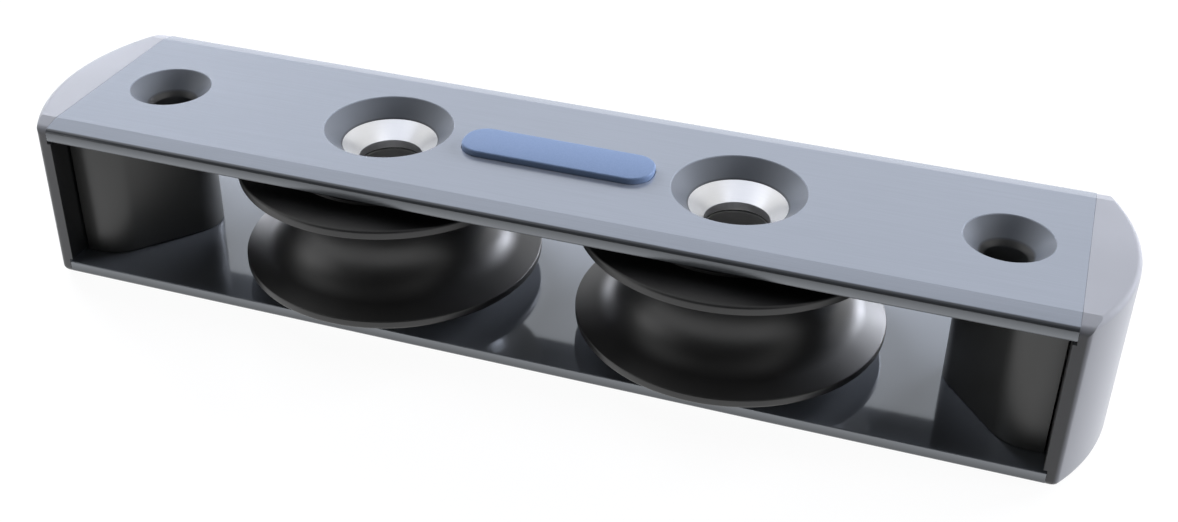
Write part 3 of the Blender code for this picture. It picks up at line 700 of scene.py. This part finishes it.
wide = PLATE_HALF_WIDTH + OVERRUN
open_x = CAP_INNER_X - OVERRUN
ledge_low = FLOOR_Z + CAP_LEDGE_GAP
ledge_high = CEILING_Z - CAP_LEDGE_GAP
neck = TAIL_NECK + TAIL_FIT
head = TAIL_HEAD + TAIL_FIT
slot_plan = [(open_x, -neck), (CAP_INNER_X - TAIL_FIT, -neck), (TAIL_TIP + TAIL_FIT, -head),
             (TAIL_TIP + TAIL_FIT, head), (CAP_INNER_X - TAIL_FIT, neck), (open_x, neck)]
hollows = [
    box_between("top_rebate", (open_x, -wide, ledge_high), (CAP_SHOULDER, wide, TOP_Z + OVERRUN)),
    box_between("base_rebate", (open_x, -wide, -OVERRUN), (CAP_SHOULDER, wide, ledge_low)),
    stacked("tail_slot", [(FLOOR_Z, slot_plan), (ledge_high + OVERRUN, slot_plan)]),
]
for sign in (-1, 1):
    reach = CAP_ARC_RADIUS - CAP_WALL
    back = [(CAP_CENTER_X + sqrt(reach ** 2 - y ** 2), y)
            for y in (POCKET_NEAR_Y + (POCKET_FAR_Y - POCKET_NEAR_Y) * i / 12 for i in range(13))]
    plan = [(open_x, POCKET_NEAR_Y)] + back + [(open_x, POCKET_FAR_Y)]
    if sign < 0:
        plan = [(x, -y) for x, y in reversed(plan)]
    hollows.append(stacked(f"pocket_{sign}", [(ledge_low + POCKET_FLOOR, plan),
                                              (ledge_high - POCKET_FLOOR, plan)]))
bored(cap, hollows, angle=FINE_ANGLE)
cap.data.materials.clear()
cap.data.materials.append(grey)
for piece in (cap, half_turn(cap)):
    side = "right" if piece is cap else "left"
    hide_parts(f"end_cap_{side}")
    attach(piece, "frame")


# Top plate. The same extrusion as the base, bevel up, with four 90 degree countersinks, whose
# edges are just broken, and a shallow pocket for the badge.
def countersunk(mouth, bore, top, bottom):
    """Profile of a 90 degree countersink with a broken edge, and its bore."""
    broken = bend((mouth + SHARP_BREAK * tan(pi / 8), top - SHARP_BREAK), SHARP_BREAK,
                  pi / 2, 3 * pi / 4, 5)
    seat = top - (mouth - bore)
    return ([(broken[0][0], top + OVERRUN), (broken[0][0], top + HAIR)] + broken[1:]
            + [(bore, seat), (bore, bottom - OVERRUN)])


BADGE_HALF_LENGTH = 0.0156
BADGE_HALF_WIDTH = 0.0040
BADGE_CORNER = 0.0036
BADGE_OFFSET_Y = -0.0006
BADGE_POCKET = 0.0008
BADGE_FIT = 0.0001


def badge_plan(grow):
    """Plan of the badge, grown all round, as a long shape with round ends."""
    plan = []
    radius = BADGE_CORNER + grow
    for quarter, (sx, sy) in enumerate(((1, 1), (-1, 1), (-1, -1), (1, -1))):
        center = (sx * (BADGE_HALF_LENGTH - BADGE_CORNER),
                  sy * (BADGE_HALF_WIDTH - BADGE_CORNER) + BADGE_OFFSET_Y)
        plan += bend(center, radius, quarter * pi / 2, (quarter + 1) * pi / 2, 16)
    return plan


top_plate = sawn_bar("top_plate_bar", CAP_SHOULDER - JOINT_GAP, PLATE_HALF_WIDTH, TOP_Z, 1,
                     PLATE_THICKNESS)
countersinks = ((-SMALL_BOLT_X, SMALL_COUNTERSINK, SMALL_BORE), (-SHEAVE_X, LARGE_COUNTERSINK, LARGE_BORE),
                (SHEAVE_X, LARGE_COUNTERSINK, LARGE_BORE), (SMALL_BOLT_X, SMALL_COUNTERSINK, SMALL_BORE))
cutters = [drill(f"countersink_{i}", countersunk(mouth, bore, TOP_Z, CEILING_Z), x)
           for i, (x, mouth, bore) in enumerate(countersinks)]
pocket_plan = badge_plan(BADGE_FIT)
cutters.append(stacked("badge_pocket", [(TOP_Z - BADGE_POCKET, pocket_plan),
                                        (TOP_Z + OVERRUN, pocket_plan)]))
bored(top_plate, cutters, angle=FINE_ANGLE)
top_plate.data.materials.clear()
top_plate.data.materials.append(anodised("anodised_top", PLATE_HALF_WIDTH, TOP_Z))
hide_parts("top_plate")
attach(top_plate, "frame")


# Badge. A blank raised pad of blue plastic with round ends, glued into the top plate's pocket.
# Its upper edge is softly rounded, and its face has a fine moulded texture.
blue, nodes, links, shader, place = finish_of("badge_blue")
sand = grain(nodes, links, place, (5200.0, 5200.0, 5200.0), 2.0)
links.new(blended(nodes, links, spread(nodes, links, sand, 0.0, 1.0), (0.165, 0.240, 0.385),
                  (0.205, 0.280, 0.435)), shader.inputs["Base Color"])
links.new(spread(nodes, links, sand, 0.34, 0.46), shader.inputs["Roughness"])
bumped(nodes, links, shader, sand, 0.35, 0.00003)

badge_low, badge_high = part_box("badge")
badge = stacked("badge_pad", [(height, badge_plan(-inset)) for height, inset in
                              edge_levels(badge_low.z, badge_high.z, 0.0001, 0.00030, 5)])
made_plain(badge)
badge.data.materials.append(blue)
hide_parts("badge")
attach(badge, "frame")


# Studio. A pale floor that carries the soft shadow, a white room that is dark behind the camera
# and dimmer overhead, and soft lamps round the organizer. Some of them show in shiny surfaces,
# and the three strips are flagged, two off all but the black pieces and one off all but the seats.
def seen_directly(nodes, links):
    """1 for what the camera sees, also in metal or through glass."""
    ray = nodes.new("ShaderNodeLightPath").outputs
    mirrored = worked(nodes, links, "MAXIMUM", ray["Is Camera Ray"], ray["Is Glossy Ray"])
    return worked(nodes, links, "MAXIMUM", mirrored, ray["Is Transmission Ray"])


def mixed(nodes, links, factor, first, second):
    """A node that mixes the shaders of two others by a factor."""
    mix = nodes.new("ShaderNodeMixShader")
    if isinstance(factor, float):
        mix.inputs["Fac"].default_value = factor
    else:
        links.new(factor, mix.inputs["Fac"])
    links.new(first.outputs[0], mix.inputs[1])
    links.new(second.outputs[0], mix.inputs[2])
    return mix


FLOOR_RADIUS = 6.0
work = bmesh.new()
bmesh.ops.create_circle(work, cap_ends=True, segments=96, radius=FLOOR_RADIUS)
floor = stand("floor", work)
floor_material = bpy.data.materials.new("pale_floor")
floor_material.use_nodes = True
nodes, links = floor_material.node_tree.nodes, floor_material.node_tree.links
nodes.clear()
dim = nodes.new("ShaderNodeBsdfDiffuse")
dim.inputs["Color"].default_value = (0.03, 0.03, 0.03, 1.0)
matt = nodes.new("ShaderNodeBsdfDiffuse")
matt.inputs["Color"].default_value = (0.80, 0.80, 0.80, 1.0)
glow = nodes.new("ShaderNodeEmission")
glow.inputs["Strength"].default_value = 1.08
pale = mixed(nodes, links, 0.88, matt, glow)
both = mixed(nodes, links, seen_directly(nodes, links), dim, pale)
links.new(both.outputs["Shader"], nodes.new("ShaderNodeOutputMaterial").inputs["Surface"])
floor.data.materials.append(floor_material)

world = bpy.data.worlds.new("studio")
bpy.context.scene.world = world
world.use_nodes = True
nodes, links = world.node_tree.nodes, world.node_tree.links
nodes.clear()
direction = nodes.new("ShaderNodeTexCoord").outputs["Generated"]
axes = nodes.new("ShaderNodeSeparateXYZ")
links.new(direction, axes.inputs["Vector"])
behind = spread(nodes, links, axes.outputs["Y"], 0.07, 1.0, -0.55, -0.25)
overhead = spread(nodes, links, axes.outputs["Z"], 1.0, 0.35, 0.86, 0.96)
room = nodes.new("ShaderNodeBackground")
links.new(worked(nodes, links, "MULTIPLY", behind, overhead), room.inputs["Strength"])
fill = nodes.new("ShaderNodeBackground")
fill.inputs["Strength"].default_value = 0.03
backdrop = nodes.new("ShaderNodeBackground")
backdrop.inputs["Color"].default_value = (0.97, 0.97, 0.97, 1.0)
around_it = mixed(nodes, links, seen_directly(nodes, links), fill, room)
camera_ray = nodes.new("ShaderNodeLightPath").outputs["Is Camera Ray"]
seen = mixed(nodes, links, camera_ray, around_it, backdrop)
links.new(seen.outputs["Shader"], nodes.new("ShaderNodeOutputWorld").inputs["Surface"])


def lamp(name, place, target, size, watts, color, lights=True, mirrored=False, only_on=()):
    """A soft area lamp that the camera doesn't see, and that falls on all pieces or only on some.

    lights: it lights matt surfaces. mirrored: it shows in shiny ones.
    """
    data = bpy.data.lights.new(name, "AREA")
    data.shape = "RECTANGLE"
    data.size, data.size_y = size
    data.energy = watts
    data.color = color
    light = bpy.data.objects.new(name, data)
    light.location = place
    light.visible_camera = False
    light.visible_diffuse = lights
    light.visible_glossy = mirrored
    light.rotation_euler = (Vector(target) - Vector(place)).to_track_quat("-Z", "Y").to_euler()
    bpy.context.scene.collection.objects.link(light)
    if only_on:
        flagged = bpy.data.collections.new(f"{name}_falls_on")
        for piece in only_on:
            flagged.objects.link(piece)
        light.light_linking.receiver_collection = flagged


def around(azimuth, elevation, distance):
    """A place seen from the organizer's middle, its azimuth counted from the back to the right."""
    side, height = radians(azimuth), radians(elevation)
    return (distance * cos(height) * sin(side), distance * cos(height) * cos(side),
            distance * sin(height))


MIDDLE = (0.0, 0.0, 0.015)
LAVENDER = (0.87, 0.90, 1.0)
WHITE = (1.0, 1.0, 1.0)
lamp("back_right_lamp", around(42, 14, 0.8), MIDDLE, (0.45, 0.30), 9.0, LAVENDER)
lamp("back_left_lamp", around(-50, 20, 0.6), (-0.03, 0.0, 0.015), (0.35, 0.25), 5.8, LAVENDER)
lamp("overhead_lamp", around(-30, 75, 0.8), MIDDLE, (0.5, 0.5), 3.0, LAVENDER)
lamp("right_lamp", around(87, 12, 0.7), MIDDLE, (0.20, 0.14), 2.5, LAVENDER)
lamp("back_right_strip", around(25, 17, 0.7), MIDDLE, (0.18, 0.18), 2.6, LAVENDER, mirrored=True,
     only_on=wheels + blocks)
lamp("back_left_strip", around(-52, 7, 0.7), MIDDLE, (0.20, 0.10), 0.7, LAVENDER, mirrored=True,
     only_on=wheels + blocks)
lamp("front_left_lamp", around(-120, 12, 0.5), (-0.03, 0.0, 0.015), (0.3, 0.2), 0.25, WHITE,
     mirrored=True)
lamp("seat_strip", (0.0, -0.022, 0.062), (0.0, 0.004, 0.024), (0.13, 0.030), 0.0125, LAVENDER,
     lights=False, mirrored=True, only_on=[seats])

bpy.context.scene.view_settings.view_transform = "Standard"
